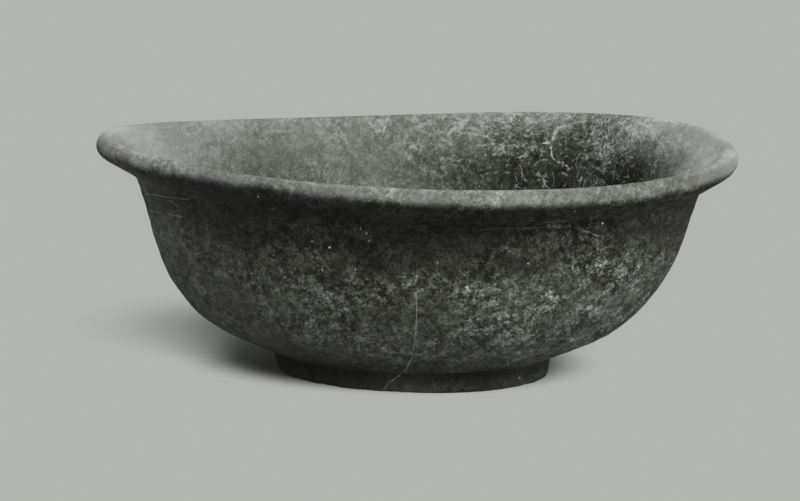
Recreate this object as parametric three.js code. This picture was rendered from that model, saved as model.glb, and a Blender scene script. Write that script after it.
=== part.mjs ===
// A wheel-made clay bowl with a turned-out lip and a low ring foot, in millimetres.
// +Z is up. The origin is on the table, under the centre of the rim, and -Y is the front.
// Each member is a profile of (radius, height) points turned about the upright axis, and all three
// are then warped alike, as the bowl warped when it dried and was fired.

import * as THREE from 'three';

// Lip
const RIM_RADIUS = 100;
const LIP_EDGE_RADIUS = 3.3;
const LIP_EDGE_HEIGHT = 67.9;
const LIP_UNDERSIDE_SLOPE = 28;
const LIP_TOP_SLOPE = 40;
const LIP_TOP_LENGTH = 7.5;
const THROAT_HOLLOW = 0.4;

// Wall and floor
const NECK_RADIUS = 88.5;
const NECK_HEIGHT = 59.6;
const WALL_THICKNESS = 5.2;
const WALL_SHAPE = [[57, 12.3], [66.5, 18], [74.6, 27], [80.6, 38], [84.9, 51]];
const FLOOR_TOP = 11.4;
const FLOOR_FLAT_RADIUS = 30;

// Foot
const FOOT_HEIGHT = 6.2;
const FOOT_TOP_RADIUS = 43.4;
const FOOT_BASE_RADIUS = 42.4;
const FOOT_EDGE_RADIUS = 1.6;
const FOOT_INNER_TOP_RADIUS = 33;
const FOOT_INNER_BASE_RADIUS = 35;

// Hidden joints: a ridge on one member in a groove of the next, with slip between them
const SLIP = 0.3;
const RIDGE_WIDTH = 1.8;
const RIDGE_HEIGHT = 1.6;
const RIDGE_TAPER = 0.25;
const LIP_RIDGE_RADIUS = 86;
const FOOT_RIDGE_RADIUS = 38.5;

// Warp of the rim: waves round the rim, how far each lifts it, and the direction of its first crest
const WARP = [
  { waves: 1, lift: 1.7, crest: 59 },
  { waves: 2, lift: 2.3, crest: 22 },
  { waves: 3, lift: 0.4, crest: 49 },
];
const WARP_START = 25;
const WARP_FULL = 70;

// How far to the right the middle of the bowl lies at some heights, between which it moves evenly
const SWAY = [[0, 0.3], [12, -1], [46, 0.6], [60, 0.7], [66, 0.1]];

// Fineness of the faceted solids
const SEGMENTS = 60;
const WALL_STEPS = 13;
const EDGE_STEPS = 8;
const FOOT_EDGE_STEPS = 4;

const radians = THREE.MathUtils.degToRad;
const point = (radius, height) => new THREE.Vector2(radius, height);

// Points of a round edge, from one direction to another in degrees, 0 pointing outwards and 90 up
function arc(centre, radius, from, to, steps) {
  return Array.from({ length: steps + 1 }, (_, i) => {
    const angle = radians(from + ((to - from) * i) / steps);
    return point(centre.x + radius * Math.cos(angle), centre.y + radius * Math.sin(angle));
  });
}

// Four corners of a ridge that stands on a level seat, from its outer side to its inner side
function ridge(radius, seat, clearance) {
  const half = RIDGE_WIDTH / 2 + clearance;
  const top = seat + RIDGE_HEIGHT;
  return [
    point(radius + half, seat),
    point(radius + half - RIDGE_TAPER, top),
    point(radius - half + RIDGE_TAPER, top),
    point(radius - half, seat),
  ];
}

// The wall's outside, from the foot up to the neck
const wallCurve = new THREE.SplineCurve([
  point(FOOT_TOP_RADIUS, FOOT_HEIGHT + SLIP),
  ...WALL_SHAPE.map(([radius, height]) => point(radius, height)),
  point(NECK_RADIUS, NECK_HEIGHT - SLIP),
]);
const wallOutside = wallCurve.getPoints(WALL_STEPS);

// The wall's inside lies one thickness in from it
const wallInside = wallOutside.map((place, i) => {
  const along = wallCurve.getTangent(i / WALL_STEPS);
  return point(place.x - WALL_THICKNESS * along.y, place.y + WALL_THICKNESS * along.x);
});
wallInside[WALL_STEPS].y = NECK_HEIGHT - SLIP;

function bowlBody() {
  const underside = FOOT_HEIGHT + SLIP;
  const groove = ridge(FOOT_RIDGE_RADIUS, underside, SLIP).reverse();
  return [
    point(0, underside),
    ...groove,
    ...wallOutside,
    ...ridge(LIP_RIDGE_RADIUS, NECK_HEIGHT - SLIP, 0),
    ...wallInside.toReversed(),
    point(FLOOR_FLAT_RADIUS, FLOOR_TOP),
    point(0, FLOOR_TOP),
  ];
}

function rimLip() {
  const edge = point(RIM_RADIUS - LIP_EDGE_RADIUS, LIP_EDGE_HEIGHT);
  const roundEdge = arc(edge, LIP_EDGE_RADIUS, LIP_UNDERSIDE_SLOPE - 90, LIP_TOP_SLOPE + 90, EDGE_STEPS);
  const crown = roundEdge[EDGE_STEPS];
  const slope = radians(LIP_TOP_SLOPE);
  const shoulder = point(
    crown.x - LIP_TOP_LENGTH * Math.cos(slope),
    crown.y - LIP_TOP_LENGTH * Math.sin(slope),
  );
  const innerSeat = point(wallInside[WALL_STEPS].x, NECK_HEIGHT);
  const throat = shoulder.clone().lerp(innerSeat, 0.5);
  throat.x -= THROAT_HOLLOW;
  return [
    innerSeat,
    ...ridge(LIP_RIDGE_RADIUS, NECK_HEIGHT, SLIP).reverse(),
    point(NECK_RADIUS, NECK_HEIGHT),
    ...roundEdge,
    shoulder,
    throat,
    innerSeat.clone(),
  ];
}

function footRing() {
  const edge = point(FOOT_BASE_RADIUS - FOOT_EDGE_RADIUS, FOOT_EDGE_RADIUS);
  const inner = point(FOOT_INNER_BASE_RADIUS, 0);
  return [
    inner,
    ...arc(edge, FOOT_EDGE_RADIUS, -90, 0, FOOT_EDGE_STEPS),
    point(FOOT_TOP_RADIUS, FOOT_HEIGHT),
    ...ridge(FOOT_RIDGE_RADIUS, FOOT_HEIGHT, 0),
    point(FOOT_INNER_TOP_RADIUS, FOOT_HEIGHT),
    inner.clone(),
  ];
}

// Where the middle of the bowl lies at a height, to the right of the origin
function swayAt(height) {
  const above = SWAY.findIndex(([level]) => level > height);
  if (above === -1) {
    return SWAY.at(-1)[1];
  }
  const [lowLevel, lowSway] = SWAY[Math.max(above - 1, 0)];
  const [highLevel, highSway] = SWAY[above];
  const share = THREE.MathUtils.smoothstep(height, lowLevel, highLevel);
  return THREE.MathUtils.lerp(lowSway, highSway, share);
}

// Moves each point of a turned shape to where the fired bowl has it
function settle(geometry) {
  const places = geometry.attributes.position;
  for (let i = 0; i < places.count; i += 1) {
    const x = places.getX(i);
    const y = places.getY(i);
    const z = places.getZ(i);
    const direction = Math.atan2(y, x);
    const share = THREE.MathUtils.smoothstep(z, WARP_START, WARP_FULL);
    const lift = WARP.reduce(
      (sum, wave) => sum + wave.lift * Math.cos(wave.waves * (direction - radians(wave.crest))),
      0,
    );
    places.setXYZ(i, x + swayAt(z), y, z + share * lift);
  }
  geometry.computeVertexNormals();
}

function turned(name, profile, material) {
  const geometry = new THREE.LatheGeometry(profile, SEGMENTS);
  geometry.rotateX(Math.PI / 2);
  settle(geometry);
  const mesh = new THREE.Mesh(geometry, material);
  mesh.name = name;
  return mesh;
}

const clay = (color) => new THREE.MeshStandardMaterial({ color, roughness: 0.92, metalness: 0 });

const bowl = new THREE.Group();
bowl.add(
  turned('bowl_body', bowlBody(), clay('#565852')),
  turned('rim_lip', rimLip(), clay('#7b7e78')),
  turned('foot_ring', footRing(), clay('#464741')),
);

export default bowl;
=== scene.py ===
"""A wheel-made dark clay bowl, dressed for a plain studio photograph.

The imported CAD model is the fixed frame. Three visual pieces stand for its three nodes: the wall with its
floor, the turned-out lip and the foot ring. Each one is a profile turned about the upright axis, warped
as the bowl warped in the kiln, and then roughened as real geometry. All sizes are in metres.
"""

import logging
import math
from dataclasses import dataclass, replace
from typing import Sequence

import bmesh
import bpy
from mathutils import Matrix, Vector, noise


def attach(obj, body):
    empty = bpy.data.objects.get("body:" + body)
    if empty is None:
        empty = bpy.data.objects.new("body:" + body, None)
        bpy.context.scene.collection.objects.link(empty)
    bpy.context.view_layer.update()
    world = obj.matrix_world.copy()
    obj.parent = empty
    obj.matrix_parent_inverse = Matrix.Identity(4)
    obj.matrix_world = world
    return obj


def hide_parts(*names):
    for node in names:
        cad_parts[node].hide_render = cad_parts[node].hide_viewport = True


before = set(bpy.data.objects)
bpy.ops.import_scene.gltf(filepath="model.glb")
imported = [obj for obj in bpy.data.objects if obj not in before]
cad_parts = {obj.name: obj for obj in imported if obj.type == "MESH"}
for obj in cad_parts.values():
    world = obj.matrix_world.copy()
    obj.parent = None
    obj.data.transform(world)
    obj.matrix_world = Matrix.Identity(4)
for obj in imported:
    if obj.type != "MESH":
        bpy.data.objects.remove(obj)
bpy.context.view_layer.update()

log = logging.getLogger("bowl")

MM = 0.001
PICTURE_WIDTH = 800
SENSOR_WIDTH = 36.0

Profile = list[tuple[float, float]]


def smoothstep(value: float, low: float, high: float) -> float:
    """Even rise from 0 at low to 1 at high."""
    share = min(max((value - low) / (high - low), 0.0), 1.0)
    return share * share * (3.0 - 2.0 * share)


def catmull_rom(points: Sequence[tuple[float, float]], steps: int) -> Profile:
    """Smooth curve through a few points.

    Args:
        points: the points that the curve passes through.
        steps: how many equal steps of its parameter to take.

    Returns:
        steps + 1 points along the curve.
    """
    last = len(points) - 1
    curve = []
    for step in range(steps + 1):
        at = min(last * step // steps, last - 1)
        share = last * step / steps - at
        place = []
        for before, start, end, after in zip(*(points[min(max(at + i, 0), last)] for i in (-1, 0, 1, 2))):
            leave, arrive, gap = (end - before) / 2, (after - start) / 2, start - end
            bend = (2 * gap + leave + arrive) * share - (3 * gap + 2 * leave + arrive)
            place.append(start + leave * share + bend * share**2)
        curve.append(tuple(place))
    return curve


def arc(centre: tuple[float, float], radius: float, start: float, end: float, steps: int) -> Profile:
    """Round edge in a profile, from one direction to another in degrees, 0 outwards and 90 up."""
    turns = [math.radians(start + (end - start) * i / steps) for i in range(steps + 1)]
    return [(centre[0] + radius * math.cos(a), centre[1] + radius * math.sin(a)) for a in turns]


def evenly(points: Sequence[tuple[float, float]], gap: float) -> Profile:
    """Spaces points evenly along a line.

    Args:
        points: the corners of the line.
        gap: about how far apart the points should lie.

    Returns:
        Points of the same line, with both its ends kept.
    """
    lengths = [0.0]
    for (r0, z0), (r1, z1) in zip(points, points[1:]):
        lengths.append(lengths[-1] + math.hypot(r1 - r0, z1 - z0))
    count = max(1, round(lengths[-1] / gap))
    line = []
    at = 0
    for i in range(count + 1):
        want = lengths[-1] * i / count
        while at < len(lengths) - 2 and lengths[at + 1] < want:
            at += 1
        share = (want - lengths[at]) / (lengths[at + 1] - lengths[at])
        (r0, z0), (r1, z1) = points[at], points[at + 1]
        line.append((r0 + (r1 - r0) * share, z0 + (z1 - z0) * share))
    return line


Term = "Value | float"
NOISE_MEAN = 0.5
GRAIN_DRAW = (1.0, 0.45, 1.0)
SEEING_RAYS = ("Camera", "Glossy", "Transmission")


class Value:
    """A number that a shader works out, written as ordinary arithmetic."""

    def __init__(self, sheet: "NodeSheet", socket: bpy.types.NodeSocket) -> None:
        """Wraps one output of a node in a sheet."""
        self.sheet = sheet
        self.socket = socket

    def __add__(self, other: Term) -> "Value":
        """The sum."""
        return self.sheet.math("ADD", self, other)

    def __radd__(self, other: Term) -> "Value":
        """The sum, from the right."""
        return self.sheet.math("ADD", other, self)

    def __sub__(self, other: Term) -> "Value":
        """The difference."""
        return self.sheet.math("SUBTRACT", self, other)

    def __rsub__(self, other: Term) -> "Value":
        """The difference, from the right."""
        return self.sheet.math("SUBTRACT", other, self)

    def __mul__(self, other: Term) -> "Value":
        """The product."""
        return self.sheet.math("MULTIPLY", self, other)

    def __rmul__(self, other: Term) -> "Value":
        """The product, from the right."""
        return self.sheet.math("MULTIPLY", other, self)

    def __truediv__(self, other: Term) -> "Value":
        """The quotient."""
        return self.sheet.math("DIVIDE", self, other)

    def __rtruediv__(self, other: Term) -> "Value":
        """The quotient, from the right."""
        return self.sheet.math("DIVIDE", other, self)

    def __abs__(self) -> "Value":
        """The size without its sign."""
        return self.sheet.math("ABSOLUTE", self)


class NodeSheet:
    """A node tree, of a finish or of the room."""

    def __init__(self, tree: bpy.types.NodeTree) -> None:
        """Takes the tree that the nodes go into."""
        self.tree = tree

    def add(
        self, kind: str, settings: dict | None = None, values: dict | None = None, output: int | str = 0
    ) -> Value:
        """Adds one node.

        Args:
            kind: the node's type.
            settings: its properties, which are set first.
            values: a number, a tuple or a Value for each of its inputs, by name or place.
            output: the output to use.

        Returns:
            The output as a Value.
        """
        node = self.tree.nodes.new(kind)
        for name, setting in (settings or {}).items():
            setattr(node, name, setting)
        for name, value in (values or {}).items():
            self.feed(node.inputs[name], value)
        return Value(self, node.outputs[output])

    def feed(self, socket: bpy.types.NodeSocket, value: Value | float | tuple) -> None:
        """Fills one input.

        Args:
            socket: the input.
            value: a Value, which is linked, or a plain number or tuple, which is written on the input.
        """
        if isinstance(value, Value):
            self.tree.links.new(value.socket, socket)
        else:
            socket.default_value = value

    def math(self, operation: str, *terms: Term) -> Value:
        """One Math node."""
        return self.add("ShaderNodeMath", {"operation": operation}, dict(enumerate(terms)))

    def vector(self, operation: str, *terms: Value | tuple, output: int | str = 0) -> Value:
        """One Vector Math node."""
        return self.add("ShaderNodeVectorMath", {"operation": operation}, dict(enumerate(terms)), output)

    def ramp(self, value: Value, low: float, high: float) -> Value:
        """Even rise from 0 at low to 1 at high."""
        limits = {"Value": value, "From Min": low, "From Max": high}
        return self.add("ShaderNodeMapRange", {"interpolation_type": "SMOOTHSTEP"}, limits)

    def between(self, low: Term, high: Term, share: Term) -> Value:
        """The number at a share of the way between two others."""
        values = {"Factor": share, "A": low, "B": high}
        return self.add("ShaderNodeMix", {"data_type": "FLOAT"}, values)

    def noise(
        self, place: Value, size: float, seed: float, detail: float = 2.0, rough: float = 0.5
    ) -> Value:
        """Cloudy noise.

        Args:
            place: where to read it.
            size: the size of its features, in millimetres.
            seed: what sets it apart from the other noises.
            detail: how many finer scales it has.
            rough: how strong each of them is against the one before.

        Returns:
            Numbers that swing about 0.
        """
        values = {"Vector": self._shifted(place, size, seed), "Scale": 1.0}
        values |= {"Detail": detail, "Roughness": rough}
        return self.add("ShaderNodeTexNoise", {}, values) - NOISE_MEAN

    def noise_vector(self, place: Value, size: float, seed: float) -> Value:
        """Cloudy noise that swings about 0 in each of the three directions, with features of one size."""
        values = {"Vector": self._shifted(place, size, seed), "Scale": 1.0, "Detail": 1.0}
        return self.vector("ADD", self.add("ShaderNodeTexNoise", {}, values, "Color"), (-NOISE_MEAN,) * 3)

    def _shifted(self, place: Value, size: float, seed: float) -> Value:
        """The place measured in features of a noise, and moved by its seed."""
        return self.vector("MULTIPLY_ADD", place, (1 / size,) * 3, (seed, -seed, 2 * seed))

    def beside(self, place: Value, start: Sequence[float], end: Sequence[float]) -> tuple[Value, Value]:
        """Measures a place against a straight line.

        Args:
            place: the place.
            start: one end of the line.
            end: its other end.

        Returns:
            At which share of the line the place lies beside it, and how far off.
        """
        run = Vector([there - here for here, there in zip(start, end)])
        from_start = self.vector("SUBTRACT", place, tuple(start))
        along = self.vector("DOT_PRODUCT", from_start, tuple(run / run.length_squared), output="Value")
        share = self.add("ShaderNodeClamp", {}, {"Value": along})
        reached = {"Vector": tuple(run), "Scale": share}
        foot = self.add("ShaderNodeVectorMath", {"operation": "SCALE"}, reached)
        return share, self.vector("DISTANCE", from_start, foot, output="Value")

    def place(self) -> Value:
        """The place on the object in millimetres."""
        seat = self.add("ShaderNodeTexCoord", output="Object")
        return self.add("ShaderNodeMapping", {}, {"Vector": seat, "Scale": (1 / MM,) * 3})

    def grained(self, place: Value) -> Value:
        """The place as the grain has it, which is drawn out from front to back."""
        return self.vector("MULTIPLY", place, GRAIN_DRAW)

    def seen(self) -> Value:
        """1 where the camera, a gloss or a clear thing looks, and 0 where light is only sent on."""
        rays = [self.add("ShaderNodeLightPath", output=f"Is {kind} Ray") for kind in SEEING_RAYS]
        return self.math("MINIMUM", rays[0] + rays[1] + rays[2], 1.0)


class FinishSheet(NodeSheet):
    """The node tree of one finish."""

    def __init__(self, name: str) -> None:
        """Makes a material.

        Args:
            name: what it is called.
        """
        self.material = bpy.data.materials.new(name)
        self.material.use_nodes = True
        super().__init__(self.material.node_tree)
        self.shader = self.tree.nodes["Principled BSDF"]


@dataclass(frozen=True)
class Patch:
    """A soft paler or darker area: its middle and reach in millimetres, and its depth in stops of e."""

    middle: tuple[float, float, float]
    reach: float
    depth: float

    def lift(self, sheet: FinishSheet, place: Value) -> Value:
        """How much the patch lifts the tone at a place."""
        off = sheet.vector("DISTANCE", place, self.middle, output="Value") / self.reach
        return self.depth * sheet.math("EXPONENT", 0.0 - off * off)


def lifts(patches: Sequence[Patch], sheet: FinishSheet, place: Value) -> Term:
    """How much some patches together lift the tone at a place."""
    return sum((patch.lift(sheet, place) for patch in patches), 0.0)


@dataclass(frozen=True)
class Stroke:
    """A fine pale line through places in millimetres to the right and up, as seen from the front."""

    points: tuple[tuple[float, float], ...]
    width: float
    depth: float
    core: float = 0.35

    def cover(self, sheet: FinishSheet, front: Value, shake: Value) -> Value:
        """Draws the line.

        Args:
            sheet: the node tree.
            front: the place in the front view.
            shake: how far the line's edge is out of true there.

        Returns:
            How much of the line covers the place, up to its depth.
        """
        places = [(right, 0.0, up) for right, up in self.points]
        nearest = None
        for start, end in zip(places, places[1:]):
            _, off = sheet.beside(front, start, end)
            nearest = off if nearest is None else sheet.math("MINIMUM", nearest, off)
        return self.depth * (1.0 - sheet.ramp(nearest + shake, self.core * self.width, self.width))


@dataclass(frozen=True)
class Speck:
    """A pale grain of lime: its place to the right and up and its radius, in millimetres."""

    right: float
    up: float
    radius: float = 0.3
    core: float = 0.5
    rim: float = 1.1

    def cover(self, sheet: FinishSheet, front: Value, shake: Value) -> Value:
        """How much of the grain covers a place in the front view."""
        off = sheet.vector("DISTANCE", front, (self.right, 0.0, self.up), output="Value")
        return 1.0 - sheet.ramp(off + shake, self.core * self.radius, self.rim * self.radius)


@dataclass(frozen=True)
class Grain:
    """One scale of the mottling: the size of its clouds in millimetres, and its depth in stops of e."""

    size: float
    depth: float
    seed: float
    detail: float = 1.0
    rough: float = 0.9
    edge: float = 0.0

    def tone(self, sheet: FinishSheet, place: Value) -> Value:
        """How much this scale lifts the tone at a place. With an edge, its clouds are flat blotches."""
        cloud = sheet.noise(place, self.size, self.seed, self.detail, self.rough)
        return self.depth * (sheet.ramp(cloud, -self.edge, self.edge) - 0.5 if self.edge else cloud)


@dataclass(frozen=True)
class Side:
    """The look of one side of the clay.

    It has a reflectance, soft patches, places where its mottling is strong or weak, and fine marks on the
    near half (far is -1) or the far half (far is 1) of the bowl. Lengths are in millimetres.
    """

    reflectance: float
    patches: tuple[Patch, ...] = ()
    contrast: float = 1.0
    contrast_patches: tuple[Patch, ...] = ()
    marks: tuple[Stroke | Speck, ...] = ()
    far: float = -1.0
    wobble: float = 0.3
    wobble_size: float = 2.6
    wear: float = 0.2
    wear_size: float = 1.3
    wear_edge: tuple[float, float] = (-0.05, 0.06)
    middle_strip: float = 10.0

    def mottling(self, sheet: FinishSheet, place: Value) -> Value:
        """How strong the mottling is at a place."""
        return self.contrast * sheet.math("EXPONENT", lifts(self.contrast_patches, sheet, place))

    def marked(self, sheet: FinishSheet, place: Value, shake: Value) -> Value:
        """Lays the fine marks.

        Args:
            sheet: the node tree.
            place: the place on the bowl.
            shake: how far the marks' edges are out of true there.

        Returns:
            How much of them all covers the place.
        """
        drift = sheet.noise_vector(place, self.wobble_size, seed=5.9)
        front = sheet.vector("MULTIPLY_ADD", drift, (2.0 * self.wobble,) * 3, place)
        front = sheet.vector("MULTIPLY", front, (1.0, 0.0, 1.0))
        cover = self.marks[0].cover(sheet, front, shake)
        for mark in self.marks[1:]:
            cover = sheet.math("MAXIMUM", cover, mark.cover(sheet, front, shake))
        worn = sheet.ramp(sheet.noise(place, self.wear_size, seed=8.8, detail=1.0), *self.wear_edge)
        depth = sheet.vector("DOT_PRODUCT", place, (0.0, self.far, 0.0), output="Value")
        return cover * (1.0 - self.wear * worn) * sheet.ramp(depth, 0.0, self.middle_strip)


FLECKED = Patch((62, 66, 60), 42, 1)
THREADED = Patch((58, 62, 62), 55, 1)
DARK_TINT = (1.0, 1.05, 0.80, 1.0)
PALE_TINT = (1.0, 1.05, 0.985, 1.0)


@dataclass(frozen=True)
class FiredClay:
    """Coarse dark clay, low fired and long weathered.

    Its outer side is dark, with painted shade in a band below an overhang, and lime has settled on what
    faces up, with flecks and the fine threads that roots leave. Both sides are mottled at every scale and
    carry specks and pits. Lengths are in millimetres.
    """

    name: str
    outer: Side
    upper: Side
    turn: tuple[float, float] = (-0.1, 0.1)
    ragged: float = 0.0
    retreat: tuple[Patch, ...] = ()
    crown: tuple[Patch, ...] = ()
    bump: float = 0.7
    grains: tuple[Grain, ...] = (
        Grain(26.0, 2.6, 5.3, 3.0, 0.6),
        Grain(6.0, 0.58, 1.7, 3.0, 0.7, 0.07),
        Grain(2.2, 0.90, 8.1, 2.0, 0.7, 0.07),
        Grain(0.8, 3.6, 3.4),
    )
    threads: float = 0.75
    flecks: float = 0.65
    # Painted shade below an overhang: how dark it is, the heights over which it fades in, how far its edge
    # wanders and how much it calms the mottling.
    overhang_shade: float = -0.84
    overhang_shade_heights: tuple[float, float] = (38.6, 54.4)
    overhang_shade_drift: float = 12.0
    overhang_shade_calm: float = 0.25
    lime: float = math.log(0.42)
    speck_depth: float = 0.9
    busy: tuple[float, float] = (0.75, 1.25)
    busy_size: float = 13.0
    grit_tone: float = 1.3
    pit_tone: float = -1.9
    pit_bump: float = -0.15
    crown_radii: tuple[float, float] = (88.0, 95.0)
    crown_slopes: tuple[float, float] = (0.6, 1.0)
    crown_least: float = 0.25
    crown_calm: float = 0.27
    mark_shake: float = 0.12
    tint_tones: tuple[float, float] = (-4.6, -0.6)
    palest: float = 0.57
    dulling: float = 0.96
    roughness: tuple[float, float] = (0.86, 0.96)
    gloss: float = 0.12
    bump_size: float = 3.2
    bump_strength: float = 0.7

    def material(self) -> bpy.types.Material:
        """Makes the finish.

        Returns:
            The material, which reads Object coordinates and the mesh's own relief.
        """
        sheet = FinishSheet(self.name)
        place = sheet.place()
        grained = sheet.grained(place)
        grains = [grain.tone(sheet, grained) for grain in self.grains]
        normal = sheet.add("ShaderNodeNewGeometry", output="Normal")
        upright = sheet.vector("DOT_PRODUCT", normal, (0.0, 0.0, 1.0), output="Value")
        faces_up = self._faces_up(sheet, place, upright)
        relief = sheet.add("ShaderNodeAttribute", {"attribute_name": "relief"}, output="Fac")
        areas = sheet.ramp(sheet.noise(place, self.busy_size, seed=3.7, detail=1.0), -0.1, 0.1)
        pits = self._dots(sheet, grained, gap=1.35, reach=0.28, share=0.2)
        mottling = sheet.between(*self.busy, areas) * sum(grains[1:], grains[0])
        mottling = mottling + self.grit_tone * relief + self.pit_tone * pits

        height = sheet.vector("DOT_PRODUCT", place, (0.0, 0.0, 1.0), output="Value")
        # Painted shade: the outer side darkens upwards into the shade below the lip and, on the foot ring,
        # below the wall.
        overhang_shaded = sheet.ramp(height + self.overhang_shade_drift * grains[0], *self.overhang_shade_heights)
        outer = lifts(self.outer.patches, sheet, place) + self.overhang_shade * overhang_shaded
        outer = outer + self.outer.mottling(sheet, place) * mottling * (1.0 - self.overhang_shade_calm * overhang_shaded)
        upper = lifts(self.upper.patches, sheet, place)
        upper_mottling = self.upper.mottling(sheet, place) * mottling
        # Painted top light, partly lime bloom: near the lip's outer edge the clay grows paler the more it
        # faces up, most at the crown patches.
        if self.crown:
            level = sheet.vector("MULTIPLY", place, (1.0, 1.0, 0.0))
            edge = sheet.ramp(sheet.vector("LENGTH", level, output="Value"), *self.crown_radii)
            bloom_and_top_light = self.crown_least + sheet.ramp(upright, *self.crown_slopes)
            upper = upper + edge * bloom_and_top_light * lifts(self.crown, sheet, place)
            upper_mottling = upper_mottling * (1.0 - self.crown_calm * edge)
        upper = upper + upper_mottling
        bare = sheet.between(self.outer.reflectance, self.upper.reflectance, faces_up)
        tone = sheet.math("LOGARITHM", bare, math.e) + sheet.between(outer, upper, faces_up)

        shake = self.mark_shake * grains[-1]
        for side, share in ((self.outer, 1.0 - faces_up), (self.upper, faces_up)):
            if side.marks:
                tone = sheet.between(tone, self.lime, share * side.marked(sheet, place, shake))
        if self.threads:
            tone = sheet.between(tone, self.lime, self.threads * faces_up * self._threads(sheet, place))
        if self.flecks:
            tone = sheet.between(tone, self.lime, self.flecks * faces_up * self._flecks(sheet, place))
        specks = self._dots(sheet, place, gap=9.0, reach=0.045, share=0.7)
        tone = sheet.between(tone, self.lime, self.speck_depth * specks)
        self._dress(sheet, place, tone, faces_up, pits)
        return sheet.material

    def _faces_up(self, sheet: FinishSheet, place: Value, upright: Value) -> Value:
        """How far lime has settled on a place, from 0 on what faces down to 1 on what faces up."""
        edge = self.ragged * sheet.noise(sheet.grained(place), 4.2, seed=7.7) if self.ragged else 0.0
        return sheet.ramp(upright + edge + lifts(self.retreat, sheet, place), *self.turn)

    def _dots(self, sheet: FinishSheet, place: Value, gap: float, reach: float, share: float) -> Value:
        """Scattered round dots.

        Args:
            sheet: the node tree.
            place: the place on the bowl.
            gap: the size of the cells that hold one dot each, in millimetres.
            reach: the radius of the largest dots, as a share of a cell.
            share: the share of the cells that stay empty.

        Returns:
            1 in the middle of a dot and 0 between the dots.
        """
        seat = sheet.vector("MULTIPLY_ADD", place, (1 / gap,) * 3, (31.0 * gap, 7.0, 13.0))
        cells = {"Vector": seat, "Scale": 1.0}
        off = sheet.add("ShaderNodeTexVoronoi", {"feature": "F1"}, cells, output="Distance")
        pick = sheet.add("ShaderNodeTexVoronoi", {"feature": "F1"}, cells, output="Color")
        chance = sheet.add("ShaderNodeSeparateColor", {}, {"Color": pick}, output="Green")
        size = sheet.ramp(chance, share, 1.0) * reach
        return 1.0 - sheet.ramp(off / (size + 0.0001), 0.4, 1.0)

    def _flecks(self, sheet: FinishSheet, place: Value) -> Value:
        """Crowds pale flecks of lime, thickest inside the far right.

        Args:
            sheet: the node tree.
            place: the place on the bowl.

        Returns:
            How much of them covers the place.
        """
        crowd = sheet.ramp(sheet.noise(place, 9.0, seed=6.6, detail=1.0), -0.10, 0.06)
        small = self._dots(sheet, place, gap=1.5, reach=0.3, share=0.2)
        large = self._dots(sheet, place, gap=2.4, reach=0.25, share=0.3)
        side = sheet.ramp(FLECKED.lift(sheet, place), 0.2, 0.75)
        return sheet.math("MAXIMUM", small, large) * crowd * side

    def _threads(self, sheet: FinishSheet, place: Value) -> Value:
        """Scatters short curved threads where roots lay against the clay, thickest inside the far right.

        Args:
            sheet: the node tree.
            place: the place on the bowl.

        Returns:
            How much of them covers the place.
        """
        threads = []
        for size, seed, width in ((12.0, 2.9, 0.010), (3.4, 9.4, 0.040)):
            line = 1.0 - sheet.ramp(abs(sheet.noise(place, size, seed)), 0.3 * width, width)
            broken = sheet.ramp(sheet.noise(place, 0.5 * size, seed + 4.0, detail=1.0), 0.03, 0.10)
            threads.append(line * broken)
        return sheet.math("MAXIMUM", *threads) * sheet.ramp(THREADED.lift(sheet, place), 0.15, 0.7)

    def _dress(self, sheet: FinishSheet, place: Value, tone: Value, faces_up: Value, pits: Value) -> None:
        """Turns the tone into colour, roughness and fine grain on the shader.

        Args:
            sheet: the node tree.
            place: the place on the bowl.
            tone: the logarithm of the reflectance.
            faces_up: how far lime has settled there.
            pits: how deep in a pit it lies.
        """
        shades = {"Factor": sheet.ramp(tone, *self.tint_tones), 6: DARK_TINT, 7: PALE_TINT}
        tint = sheet.add("ShaderNodeMix", {"data_type": "RGBA"}, shades, output=2)
        reflectance = sheet.math("MINIMUM", sheet.math("EXPONENT", tone), self.palest) * self.dulling
        scaled = {"Vector": tint, "Scale": reflectance}
        colour = sheet.add("ShaderNodeVectorMath", {"operation": "SCALE"}, scaled)
        sheet.feed(sheet.shader.inputs["Base Color"], colour)
        sheet.feed(sheet.shader.inputs["Roughness"], sheet.between(*self.roughness, faces_up))
        sheet.feed(sheet.shader.inputs["Specular IOR Level"], self.gloss)
        grit = sheet.noise(sheet.grained(place), self.bump_size, seed=4.4, detail=3.0, rough=0.6)
        bump = {"Height": grit + self.pit_bump * pits, "Strength": self.bump_strength}
        bump["Distance"] = self.bump * MM
        sheet.feed(sheet.shader.inputs["Normal"], sheet.add("ShaderNodeBump", {}, bump))


@dataclass(frozen=True)
class RimWave:
    """A standing wave round the rim: how many crests, how high, and where the first one is in degrees."""

    waves: int
    lift: float
    crest: float


@dataclass(frozen=True)
class Warp:
    """How the bowl moved out of true as it dried and was fired."""

    rim_waves: tuple[RimWave, ...] = (
        RimWave(1, 1.1 * MM, 15.0),
        RimWave(2, 2.35 * MM, 23.5),
        RimWave(3, 0.45 * MM, 49.0),
    )
    start: float = 25 * MM
    full: float = 70 * MM
    sway: tuple[tuple[float, float], ...] = (
        (0.0, 0.3 * MM),
        (12 * MM, -1.0 * MM),
        (46 * MM, 0.6 * MM),
        (60 * MM, 0.4 * MM),
        (66 * MM, -0.1 * MM),
    )

    def middle_at(self, height: float) -> float:
        """Finds the bowl's middle at a height.

        Args:
            height: the height above the ground.

        Returns:
            How far the middle lies to the right of the origin.
        """
        above = next((i for i, (level, _) in enumerate(self.sway) if level > height), len(self.sway) - 1)
        low, high = self.sway[max(above, 1) - 1], self.sway[max(above, 1)]
        return low[1] + (high[1] - low[1]) * smoothstep(height, low[0], high[0])

    def settle(self, place: Vector) -> Vector:
        """Moves a point of the true turned form.

        Args:
            place: the point.

        Returns:
            Where the fired bowl has it.
        """
        direction = math.atan2(place.y, place.x)
        share = smoothstep(place.z, self.start, self.full)
        lift = sum(w.lift * math.cos(w.waves * (direction - math.radians(w.crest))) for w in self.rim_waves)
        return Vector((place.x + self.middle_at(place.z), place.y, place.z + share * lift))


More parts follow.
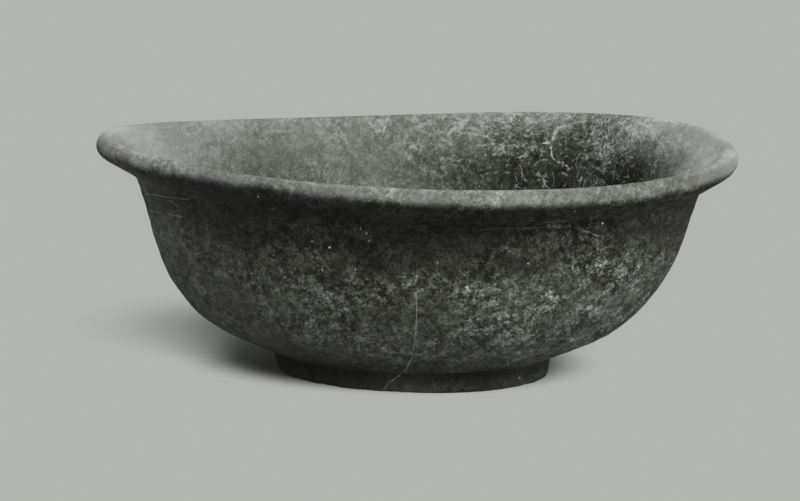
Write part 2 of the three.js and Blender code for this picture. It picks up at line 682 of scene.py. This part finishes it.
@dataclass(frozen=True)
class Relief:
    """The unevenness of hand-turned, weathered clay, made as real geometry."""

    dent_height: float = 0.32 * MM
    dent_size: float = 30 * MM
    ridge_height: float = 0.07 * MM
    ridge_size: tuple[float, float, float] = (70 * MM, 70 * MM, 3.4 * MM)
    grit_height: float = 0.17 * MM
    grit_size: float = 6.5 * MM
    grit_scales: tuple[float, float, int] = (0.35, 2.0, 3)
    pit_depth: float = 0.28 * MM
    pit_gap: float = 8.5 * MM
    pit_reach: float = 0.2
    pit_share: float = 0.45
    fade: float = 1.6 * MM
    dent_shift: Vector = Vector((3.1, 6.2, -3.1))
    grit_shift: Vector = Vector((11.3, -4.0, 7.9))

    def dents(self, place: Vector) -> float:
        """Raises broad dents and faint turning ridges.

        Args:
            place: the point of the surface.

        Returns:
            How far they lift it.
        """
        ridge = noise.noise(Vector([along / size for along, size in zip(place, self.ridge_size)]))
        dent = noise.noise(place / self.dent_size + self.dent_shift)
        return self.dent_height * dent + self.ridge_height * ridge

    def grit(self, place: Vector) -> float:
        """Raises grit and sinks pits.

        Args:
            place: the point of the surface.

        Returns:
            How far they lift it.
        """
        seat = place / self.grit_size + self.grit_shift
        grit = self.grit_height * noise.fractal(seat, *self.grit_scales)
        near, seats = noise.voronoi(place / self.pit_gap)
        chosen = noise.cell(seats[0] * 7.0) < 2.0 * self.pit_share - 1.0
        pit = 1.0 - smoothstep(near[0], 0.3 * self.pit_reach, self.pit_reach) if chosen else 0.0
        return grit - self.pit_depth * pit


SMOOTHED = Relief(dent_height=0.15 * MM, grit_height=0.04 * MM, pit_depth=0.12 * MM)


@dataclass(frozen=True)
class BowlSizes:
    """Driving sizes of the bowl, those of the solids to within 0.6 mm."""

    rim_radius: float = 99.4 * MM
    lip_edge_radius: float = 3.2 * MM
    lip_edge_height: float = 67.9 * MM
    lip_underside_slope: float = 28.0
    lip_top_slope: float = 40.0
    lip_top_length: float = 7.5 * MM
    neck_radius: float = 88.0 * MM
    neck_height: float = 59.45 * MM
    wall_thickness: float = 5.2 * MM
    wall_shape: tuple[tuple[float, float], ...] = (
        (57 * MM, 12.3 * MM),
        (66.5 * MM, 18 * MM),
        (74.6 * MM, 27 * MM),
        (80.6 * MM, 38 * MM),
        (84.9 * MM, 51 * MM),
    )
    floor_top: float = 11.4 * MM
    foot_height: float = 6.35 * MM
    foot_top_radius: float = 43.4 * MM
    foot_base_radius: float = 42.4 * MM
    foot_edge_radius: float = 1.6 * MM
    foot_inner_top_radius: float = 33 * MM
    foot_inner_base_radius: float = 35 * MM
    lip_edge_steps: int = 24
    foot_edge_steps: int = 8
    outside_steps: int = 60
    inside_steps: int = 240
    guide_gap: float = 3.5 * MM
    guides_end: float = 2 * MM
    slack: float = 0.1 * MM

    def wall_outside(self) -> Profile:
        """The outside of the wall, from the foot up to the neck."""
        low, high = (self.foot_top_radius, self.foot_height), (self.neck_radius, self.neck_height)
        return catmull_rom([low, *self.wall_shape, high], self.outside_steps)

    def inside_guides(self) -> Profile:
        """Finds the inside of the wall.

        Returns:
            Points one thickness in from the outside, from the floor's edge up to near the neck.
        """
        outside = self.wall_outside()
        guides = []
        for (r0, z0), (radius, height), (r1, z1) in zip(outside, outside[1:], outside[2:]):
            length = math.hypot(r1 - r0, z1 - z0)
            inwards = self.wall_thickness * (z1 - z0) / length
            guides.append((radius - inwards, height + self.wall_thickness * (r1 - r0) / length))
        return [guide for guide in guides if guide[1] < self.neck_height - self.guides_end]

    def lip_edge(self) -> Profile:
        """Rounds the lip's edge.

        Returns:
            Its points, from the underside up to the crown.
        """
        middle = (self.rim_radius - self.lip_edge_radius, self.lip_edge_height)
        turns = (self.lip_underside_slope - 90, self.lip_top_slope + 90)
        return arc(middle, self.lip_edge_radius, *turns, self.lip_edge_steps)

    def inside(self) -> Profile:
        """Draws the whole inside as one smooth line.

        Returns:
            Its points, from the floor's edge over the neck to the crown.
        """
        crown = self.lip_edge()[-1]
        slope = math.radians(self.lip_top_slope)
        run, rise = self.lip_top_length * math.cos(slope), self.lip_top_length * math.sin(slope)
        shoulder, upper = ((crown[0] - share * run, crown[1] - share * rise) for share in (1.0, 0.4))
        (r0, z0), (r1, z1) = self.wall_outside()[-2:]
        bore = self.neck_radius - self.wall_thickness * (z1 - z0) / math.hypot(r1 - r0, z1 - z0)
        line = evenly([*self.inside_guides(), (bore, self.neck_height), shoulder], self.guide_gap)
        return catmull_rom([*line, upper, crown], self.inside_steps)

    def inside_parts(self) -> tuple[Profile, Profile]:
        """Cuts the inside at the neck.

        Returns:
            The wall's part, from the neck down to the floor's edge, and the lip's, from the crown down
            to the neck.
        """
        line = self.inside()
        low = [place for place in line if place[1] < self.neck_height - self.slack]
        high = [place for place in line if place[1] > self.neck_height + self.slack]
        (r0, z0), (r1, z1) = next(pair for pair in zip(line, line[1:]) if pair[1][1] > self.neck_height)
        neck = (r0 + (r1 - r0) * (self.neck_height - z0) / (z1 - z0), self.neck_height)
        return [neck, *low[::-1]], [*high[::-1], neck]


@dataclass
class TurnedMember:
    """One of the potter's three members: a profile turned about the upright axis.

    A closed profile ends where it begins, and an open one has both its ends on the axis.
    """

    name: str
    node: str
    slot: str
    finish: FiredClay
    segments: int
    sectors: int = 12
    closed: bool = True
    sizes: BowlSizes = BowlSizes()
    warp: Warp = Warp()
    relief: Relief = Relief()
    crease: float = math.radians(35)
    merge: float = 0.002 * MM

    def profile(self) -> Profile:
        """The member's section as (radius, height) points, from its underside round to its inside."""
        raise NotImplementedError

    def build(self) -> bpy.types.Object:
        """Turns, warps and roughens the member.

        Returns:
            The finished object, at the origin, with its place in its mesh.
        """
        form = bmesh.new()
        points = [form.verts.new((radius, 0.0, height)) for radius, height in self.profile()]
        edges = [form.edges.new(pair) for pair in zip(points, points[1:])]
        if self.closed:
            edges.append(form.edges.new((points[-1], points[0])))
        upright = {"cent": (0.0, 0.0, 0.0), "axis": (0.0, 0.0, 1.0)}
        sector = math.tau / self.sectors
        steps = self.segments // self.sectors
        bmesh.ops.spin(form, geom=points + edges, angle=sector, steps=steps, **upright)
        bmesh.ops.spin(
            form,
            geom=[*form.verts, *form.edges, *form.faces],
            angle=math.tau - sector,
            steps=self.sectors - 1,
            use_duplicate=True,
            **upright,
        )
        bmesh.ops.remove_doubles(form, verts=form.verts, dist=self.merge)
        bmesh.ops.recalc_face_normals(form, faces=form.faces)
        self._shape(form)
        for edge in form.edges:
            edge.smooth = edge.calc_face_angle(0.0) < self.crease
        for face in form.faces:
            face.smooth = True
        mesh = bpy.data.meshes.new(self.name)
        form.to_mesh(mesh)
        form.free()
        mesh.materials.append(self.finish.material())
        piece = bpy.data.objects.new(self.name, mesh)
        bpy.context.scene.collection.objects.link(piece)
        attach(piece, "root")
        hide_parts(self.node)
        return piece

    def _shape(self, form: bmesh.types.BMesh) -> None:
        """Roughens each point along its own normal, keeps the grit's height for the finish, and warps all.

        Args:
            form: the turned form, which is changed.
        """
        form.normal_update()
        heights = form.verts.layers.float.new("relief")
        seams = (self.sizes.neck_height, self.sizes.foot_height)
        for vert in form.verts:
            grit = self.relief.grit(vert.co)
            near = min(abs(vert.co.z - seam) for seam in seams)
            calm = smoothstep(near, 0.0, self.relief.fade)
            move = vert.normal * (calm * (self.relief.dents(vert.co) + grit))
            vert[heights] = grit / MM
            moved = self.warp.settle(vert.co + move)
            moved.z = max(moved.z, 0.0)
            vert.co = moved


@dataclass
class BowlWall(TurnedMember):
    """The thrown wall and floor."""

    closed: bool = False
    fine: float = 1.05 * MM
    coarse: float = 3.0 * MM

    def profile(self) -> Profile:
        """Draws the wall's section.

        Returns:
            Underside, outside, the seat of the lip, inside and floor.
        """
        sizes = self.sizes
        outside = evenly(sizes.wall_outside(), self.fine)
        inside = evenly(sizes.inside_parts()[0], self.fine)
        under = evenly([(0.0, sizes.foot_height), outside[0]], self.coarse)
        floor = evenly([inside[-1], (0.0, sizes.floor_top)], self.coarse)
        return [*under[:-1], *outside, *inside, *floor[1:]]


@dataclass
class TurnedLip(TurnedMember):
    """The thick lip, turned outwards and rounded."""

    fine: float = 0.5 * MM
    seat_gap: float = 1.5 * MM

    def profile(self) -> Profile:
        """Draws the lip's section.

        Returns:
            Seat, underside, round edge, top and throat.
        """
        sizes = self.sizes
        outer = (sizes.neck_radius, sizes.neck_height)
        underside = evenly([outer, *sizes.lip_edge()], self.fine)
        top = evenly(sizes.inside_parts()[1], self.fine)
        seat = evenly([top[-1], outer], self.seat_gap)
        return [*seat[:-1], *underside, *top[1:-1]]


@dataclass
class FootRing(TurnedMember):
    """The low ring that the bowl stands on."""

    fine: float = 0.5 * MM

    def profile(self) -> Profile:
        """Draws the foot's section.

        Returns:
            Underside, rounded lower edge, outside, top and inside.
        """
        sizes = self.sizes
        edge = (sizes.foot_base_radius - sizes.foot_edge_radius, sizes.foot_edge_radius)
        top_outer = (sizes.foot_top_radius, sizes.foot_height)
        top_inner = (sizes.foot_inner_top_radius, sizes.foot_height)
        base_inner = (sizes.foot_inner_base_radius, 0.0)
        round_edge = arc(edge, sizes.foot_edge_radius, -90, 0, sizes.foot_edge_steps)
        outside = evenly([*round_edge, top_outer], self.fine)
        base = evenly([base_inner, outside[0]], 2 * self.fine)
        top = evenly([top_outer, top_inner], 2 * self.fine)
        inside = evenly([top_inner, base_inner], self.fine)
        return [*base[:-1], *outside, *top[1:], *inside[1:-1]]


@dataclass(frozen=True)
class Lamp:
    """A wide soft lamp: how many degrees right of the camera and above level it hangs, and how strong."""

    name: str
    right: float
    above: float
    share: float
    softness: float = 25.0

    def hang(self) -> None:
        """Adds the lamp to the scene."""
        data = bpy.data.lights.new(self.name, "SUN")
        data.energy = math.pi * self.share
        data.angle = math.radians(self.softness)
        lamp = bpy.data.objects.new(self.name, data)
        right, above = math.radians(self.right), math.radians(self.above)
        level = math.cos(above)
        towards = Vector((math.sin(right) * level, -math.cos(right) * level, math.sin(above)))
        lamp.rotation_mode = "QUATERNION"
        lamp.rotation_quaternion = towards.to_track_quat("Z", "Y")
        bpy.context.scene.collection.objects.link(lamp)


@dataclass(frozen=True)
class Studio:
    """White paper that photographs pale grey, two soft lamps and the camera of the photograph."""

    target: Vector = Vector((0.0, 0.0, 35 * MM))
    distance: float = 1.3
    elevation: float = 8.4
    roll: float = 1.56
    pixels_per_mm: float = 3.21
    target_pixel: tuple[float, float] = (414.85, 258.8)
    picture_centre: tuple[float, float] = (400.0, 250.5)
    seen_grey: tuple[float, float, float, float] = (0.440, 0.462, 0.429, 1.0)
    paper_white: tuple[float, float, float, float] = (0.85, 0.85, 0.85, 1.0)
    paper_half: float = 20.0
    paper_roughness: float = 0.9
    room_light: float = 0.25
    clip: tuple[float, float] = (0.05, 40.0)
    lamps: tuple[Lamp, ...] = (
        Lamp("key", right=50.0, above=36.0, share=0.67),
        Lamp("fill", right=-10.0, above=36.0, share=0.57),
    )
    shadow_near: tuple[float, float, float] = (-8.2, 22.0, 0.0)
    shadow_far: tuple[float, float, float] = (-21.2, 71.9, 0.0)
    shadow_core: tuple[float, float] = (48.2, 28.0)
    shadow_reach: tuple[float, float] = (70.2, 96.7)

    def camera(self) -> None:
        """Places the camera where the photograph was taken from."""
        tilt = math.radians(self.elevation)
        place = self.target + self.distance * Vector((0.0, -math.cos(tilt), math.sin(tilt)))
        data = bpy.data.cameras.new("camera")
        data.sensor_width = SENSOR_WIDTH
        focal_pixels = self.pixels_per_mm * self.distance / MM
        data.lens = focal_pixels * SENSOR_WIDTH / PICTURE_WIDTH
        data.clip_start, data.clip_end = self.clip
        camera = bpy.data.objects.new("camera", data)
        off_right = (self.target_pixel[0] - self.picture_centre[0]) / focal_pixels
        off_down = (self.target_pixel[1] - self.picture_centre[1]) / focal_pixels
        facing = (self.target - place).to_track_quat("-Z", "Y").to_matrix().to_4x4()
        turn = Matrix.Rotation(math.radians(self.roll), 4, "Z")
        aim = Matrix.Rotation(off_right, 4, "Y") @ Matrix.Rotation(off_down, 4, "X")
        camera.matrix_world = Matrix.Translation(place) @ facing @ turn @ aim
        bpy.context.scene.collection.objects.link(camera)
        bpy.context.scene.camera = camera

    def ground(self) -> None:
        """A level sheet of white paper, overexposed to an even grey outside the heart of the shadow."""
        form = bmesh.new()
        bmesh.ops.create_grid(form, x_segments=1, y_segments=1, size=self.paper_half)
        mesh = bpy.data.meshes.new("paper")
        form.to_mesh(mesh)
        form.free()
        paper = bpy.data.objects.new("paper", mesh)
        bpy.context.scene.collection.objects.link(paper)
        sheet = FinishSheet("white_paper")
        place = sheet.place()
        seen = sheet.seen()
        grey = {"Factor": seen, 6: self.paper_white, 7: self.seen_grey}
        colour = sheet.add("ShaderNodeMix", {"data_type": "RGBA"}, grey, output=2)
        sheet.feed(sheet.shader.inputs["Base Color"], colour)
        sheet.feed(sheet.shader.inputs["Roughness"], self.paper_roughness)
        sheet.feed(sheet.shader.inputs["Specular IOR Level"], 0.0)
        even = sheet.add("ShaderNodeEmission", {}, {"Color": self.seen_grey, "Strength": 1.0})
        lit = Value(sheet, sheet.shader.outputs[0])
        share = seen * self._outside_shadow(sheet, place)
        shown = sheet.add("ShaderNodeMixShader", {}, {0: share, 1: lit, 2: even})
        sheet.feed(sheet.tree.nodes["Material Output"].inputs["Surface"], shown)
        mesh.materials.append(sheet.material)

    def _outside_shadow(self, sheet: FinishSheet, place: Value) -> Value:
        """Finds the heart of the shadow.

        Args:
            sheet: the paper's node tree.
            place: the place on the paper.

        Returns:
            0 inside the heart of the shadow, 1 well outside it.
        """
        share, off = sheet.beside(place, self.shadow_near, self.shadow_far)
        core = sheet.between(*self.shadow_core, share)
        reach = sheet.between(*self.shadow_reach, share)
        return sheet.ramp((off - core) / (reach - core), 0.0, 1.0)

    def lights(self) -> None:
        """Two soft lamps in a pale room."""
        for lamp in self.lamps:
            lamp.hang()
        world = bpy.data.worlds.new("room")
        world.use_nodes = True
        sheet = NodeSheet(world.node_tree)
        plain = {"Color": (1.0, 1.0, 1.0, 1.0), "Strength": self.room_light}
        light = sheet.add("ShaderNodeBackground", {}, plain)
        shown = sheet.add("ShaderNodeBackground", {}, {"Color": self.seen_grey, "Strength": 1.0})
        both = sheet.add("ShaderNodeMixShader", {}, {0: sheet.seen(), 1: light, 2: shown})
        sheet.feed(sheet.tree.nodes["World Output"].inputs["Surface"], both)
        bpy.context.scene.world = world

    def build(self) -> None:
        """Sets up the whole studio."""
        bpy.context.scene.view_settings.view_transform = "Standard"
        self.camera()
        self.ground()
        self.lights()


HAIRLINE_END = Stroke(
    ((-0.2, 13.8), (-1.0, 11.0), (-1.9, 7.9), (-3.4, 5.9), (-6.4, 3.5), (-8.6, 0.6)), 0.22, 0.7
)
# The soft patches were set from the photograph's blurred tone, measured against the scene's own plain
# shading.
OUTSIDE = Side(
    0.041,
    # Painted shade: the dark patches at heights 52 to 64 mm on the front darken the wall below the lip and
    # the lip's underside, and the four at heights 5 to 11 mm darken the crease over the foot.
    patches=(
        Patch((35, -84, 28), 42, 0.68), Patch((59, -40, 38), 24, 0.66), Patch((-81, -28, 62), 28, 0.85),
        Patch((-27, -63, 26), 14, 0.32), Patch((-20, -32, 6), 31, -0.51), Patch((10, -86, 64), 33, -0.54),
        Patch((-45, -82, 61), 22, -0.60), Patch((45, -82, 61), 20, -0.55), Patch((0, -42, 1), 14, 0.50),
        Patch((22, -37, 5), 12, -0.35), Patch((12, -46, 8.5), 17, -0.45), Patch((-24, -50, 11), 13, -0.35),
        Patch((-33, -74, 42), 16, 0.38), Patch((-6, -81, 43), 10, -0.45), Patch((17, -71, 23), 7, -0.40),
        Patch((24, -79, 40.5), 6, -0.35), Patch((-17, -84, 52), 10, -0.30), Patch((48, -67, 41), 11, 0.30),
        Patch((62, -54, 41), 8, -0.35), Patch((-24, -64, 19), 11, -0.35), Patch((51, -53, 26), 9, 0.40),
        Patch((-3, -80, 35.5), 6, 0.55), Patch((18, -76, 32), 6, 0.40),
    ),
    contrast=0.87,
    contrast_patches=(
        Patch((53, -78, 53), 40, 0.42), Patch((-24, -74, 22), 39, 0.47), Patch((-35, -32, 5), 60, -0.89),
    ),
    marks=(
        Stroke(((0.7, 36.9), (0.9, 31.1), (1.0, 25.7), (0.6, 20.1), (0.3, 17.2)), 0.22, 0.65),
        HAIRLINE_END,
        Stroke(((-82.8, 56.2), (-79.3, 57.6), (-72.1, 58.5), (-67.5, 59.2)), 0.26, 0.5),
        Stroke(((-73.8, 57.3), (-72.8, 56.6), (-71.5, 55.9)), 0.3, 0.5),
        Stroke(((-81.7, 50.6), (-76.7, 52.3)), 0.26, 0.45),
        Stroke(((-74.6, 52.4), (-70.2, 53.0)), 0.26, 0.45),
        Stroke(((18.3, 56.5), (22.3, 57.1), (30.5, 56.9), (43.5, 57.0)), 0.24, 0.3),
        Stroke(((49.3, 55.4), (51.1, 54.6), (53.9, 53.4)), 0.4, 0.6),
        Speck(15.6, 38.7, 0.65), Speck(-25.0, 49.6, 0.42), Speck(55.0, 57.1, 0.42), Speck(-30.0, 51.0),
        Speck(-16.0, 56.1, 0.35), Speck(-14.2, 54.7, 0.24), Speck(-13.6, 52.2), Speck(-27.0, 42.5),
        Speck(-48.2, 38.8, 0.26), Speck(-17.2, 43.3), Speck(-38.2, 38.9), Speck(21.8, 23.0, 0.38),
        Speck(6.6, 46.4), Speck(33.3, 45.9, 0.34), Speck(-2.9, 41.9, 0.26), Speck(28.8, 11.3, 0.34),
        Speck(43.9, 9.7, 0.34), Speck(7.0, 21.4, 0.26), Speck(-58.5, 45.7, 0.24),
    ),
)
INSIDE = Side(
    0.140,
    # Painted shade: the three patches of depth -1.20 and Patch((70, 42, 57), 12, -0.90), low inside on the
    # right, stand for the shade of the near right wall. The pale patches at the rim's two ends, (-102, 20,
    # 77) and (98, 29, 78), are partly painted light.
    patches=(
        Patch((26, 66, 51), 27, -1.20), Patch((47, 44, 44), 45, -1.20), Patch((68, 39, 54), 19, -1.20),
        Patch((35, 92, 80), 32, 1.18), Patch((76, 53, 74), 21, 1.25), Patch((98, 29, 78), 35, 1.12),
        Patch((82, -5, 64), 26, 1.05), Patch((103, -14, 65), 9, -0.40), Patch((90, -12, 70), 9, 0.50),
        Patch((94, 42, 78), 12, -0.45), Patch((-102, 20, 77), 40, 0.92), Patch((-72, 35, 68), 28, 0.15),
        Patch((-74, -62, 71), 20, 0.50), Patch((70, 42, 57), 12, -0.90), Patch((-62, 77, 77), 18, 0.70),
        Patch((-70, 66, 70), 12, 0.40), Patch((-38, 88, 76), 13, 0.60), Patch((-18, 93, 75), 11, 0.35),
        Patch((-53, 64, 57), 17, -0.45), Patch((50, 64, 54), 15, -0.42), Patch((49.5, 69, 62.5), 7, -0.22),
        Patch((80, 23, 62), 8, -0.28), Patch((78, 33, 68), 8, 0.32),
    ),
    contrast=0.50,
    contrast_patches=(
        Patch((50, 35, 45), 46, 1.30), Patch((-93, 25, 72), 40, -1.60), Patch((-35, 75, 62), 35, -0.35),
        Patch((103, 26, 80), 41, -1.70), Patch((97, -32, 71), 25, -0.90),
    ),
    far=1.0,
    wobble=0.9,
    wear=0.6,
)
THROAT_MARKS = (
    Stroke(((9.7, 64.0), (12.3, 65.9), (13.9, 67.2), (16.2, 68.7)), 0.75, 0.65),
    Stroke(((7.7, 63.0), (9.4, 61.9), (11.4, 61.1)), 0.5, 0.6),
    Stroke(((16.3, 64.9), (19.3, 64.5), (22.6, 63.8), (25.2, 63.0)), 0.45, 0.65),
    Stroke(((16.6, 66.4), (19.2, 66.0), (21.6, 65.5)), 0.4, 0.5),
    Stroke(((34.7, 66.1), (36.6, 67.4), (38.2, 68.4), (40.5, 69.8), (43.8, 70.9)), 0.45, 0.55),
    Stroke(((46.0, 68.5), (44.1, 65.3), (41.2, 63.3)), 0.5, 0.95),
    Stroke(((46.0, 68.5), (49.3, 69.3), (52.0, 70.6), (55.0, 71.5)), 0.4, 0.6),
    Stroke(((64.6, 66.7), (68.0, 68.3), (71.1, 69.9)), 0.5, 0.6),
    Stroke(((65.2, 64.5), (68.6, 66.7), (71.7, 69.2)), 0.5, 0.5),
    Stroke(((42.8, 68.0), (42.1, 64.3), (41.8, 61.9)), 0.4, 0.5),
    Stroke(((76.2, 69.9), (78.4, 67.7), (79.7, 64.9)), 0.45, 0.5),
    Stroke(((51.1, 65.9), (54.0, 65.0), (56.2, 63.2)), 0.4, 0.6),
    Stroke(((-17.7, 68.0), (-15.3, 66.0), (-13.2, 65.4)), 0.45, 0.45),
    Stroke(((-10.4, 68.1), (-10.6, 66.6), (-10.9, 64.9)), 0.4, 0.5),
    Stroke(((-4.7, 68.8), (-2.7, 67.7), (-1.0, 66.6)), 0.4, 0.45),
    Stroke(((-76.6, 68.2), (-74.1, 65.6)), 0.4, 0.4),
    Stroke(((-60.8, 62.7), (-59.3, 63.6)), 0.45, 0.5),
)
NECK_MARKS = (
    Stroke(((19.7, 61.2), (22.3, 61.6), (26.5, 61.9), (28.2, 61.4), (28.5, 60.0), (27.3, 58.7)), 0.45, 0.7),
    Stroke(((44.2, 65.9), (43.5, 63.4), (43.5, 61.1), (45, 58.7), (47.2, 58), (49.2, 57.2)), 0.42, 0.95),
    Stroke(((58.1, 66.1), (58.9, 63.6), (59.6, 61.8), (61.6, 61.6)), 0.9, 0.7),
    Stroke(((57.4, 62.4), (55.6, 61.2), (53.6, 59.8)), 0.8, 0.6),
    Stroke(((-5.1, 61.4), (-4.4, 58.7), (-3.0, 56.6)), 0.9, 0.35),
    Stroke(((27.9, 62.0), (26.6, 58.9)), 0.4, 0.6),
)
BORE_MARKS = (
    Stroke(((41.3, 52.6), (42.0, 50.8), (43.0, 49.6)), 0.5, 0.8),
    Stroke(((37.1, 56.0), (39.9, 58.2), (42.2, 58.7)), 0.45, 0.7),
    Stroke(((20.9, 51.9), (24.1, 53.1), (26.4, 53.6)), 0.4, 0.5),
    Stroke(((56.8, 58.2), (59.3, 57.4), (61.5, 58.3)), 0.45, 0.7),
    Stroke(((9.9, 57.1), (12.9, 56.0), (14.8, 56.7)), 0.4, 0.5),
)
WALL_FINISH = FiredClay("wall_clay", OUTSIDE, replace(INSIDE, marks=NECK_MARKS + BORE_MARKS))
LIP_FINISH = FiredClay(
    "lip_clay",
    replace(OUTSIDE, marks=(Speck(46.0, 62.7, 0.35), Speck(-45.8, 64.8, 0.36))),
    replace(INSIDE, marks=THROAT_MARKS + NECK_MARKS),
    turn=(-0.9, 0.1),
    ragged=0.6,
    retreat=(
        Patch((-46, -88, 68), 24, -0.62), Patch((-70, -70, 68), 18, -0.3), Patch((-86, -47, 68), 12, -0.4),
        Patch((-97, -12, 68), 26, -0.65), Patch((-12, -99, 68), 22, -0.2), Patch((84, -48, 68), 16, -0.15),
        Patch((60, -80, 66), 16, 0.15), Patch((-54, -83, 66), 5, 0.25), Patch((-34.5, -93, 66.5), 5, 0.25),
    ),
    # The crown patches set the lip's top edge and its two tips paler or darker: partly lime bloom, partly
    # painted top light.
    crown=(
        Patch((10, -95, 68), 80, 0.40), Patch((-96, 2, 72), 20, 0.28), Patch((-88, -40, 72), 24, 0.46),
        Patch((88, -34, 70), 27, 0.38), Patch((98, -4, 74), 14, -0.40),
    ),
    bump=0.4,
)
FOOT_FINISH = FiredClay(
    "foot_clay",
    replace(OUTSIDE, reflectance=0.054, contrast=0.62, marks=(HAIRLINE_END, Speck(33.0, 3.1, 0.4))),
    INSIDE,
    turn=(0.2, 0.5),
    threads=0.0,
    flecks=0.0,
    # Painted shade on the upper part of the foot ring, under the wall's overhang.
    overhang_shade=-0.55,
    overhang_shade_heights=(0.8, 5.4),
    overhang_shade_drift=1.5,
)


def main() -> None:
    """Builds the studio and the three members, and reports each one."""
    logging.basicConfig(level=logging.INFO, format="%(name)s: %(message)s")
    Studio().build()
    members = [
        BowlWall("bowl_wall", "bowl_body", "wall_clay", WALL_FINISH, segments=540),
        TurnedLip("turned_lip", "rim_lip", "lip_clay", LIP_FINISH, segments=720, relief=SMOOTHED),
        FootRing("foot", "foot_ring", "foot_clay", FOOT_FINISH, segments=480),
    ]
    for member in members:
        piece = member.build()
        log.info("%s: %d faces", piece.name, len(piece.data.polygons))


if __name__ == "__main__":
    main()
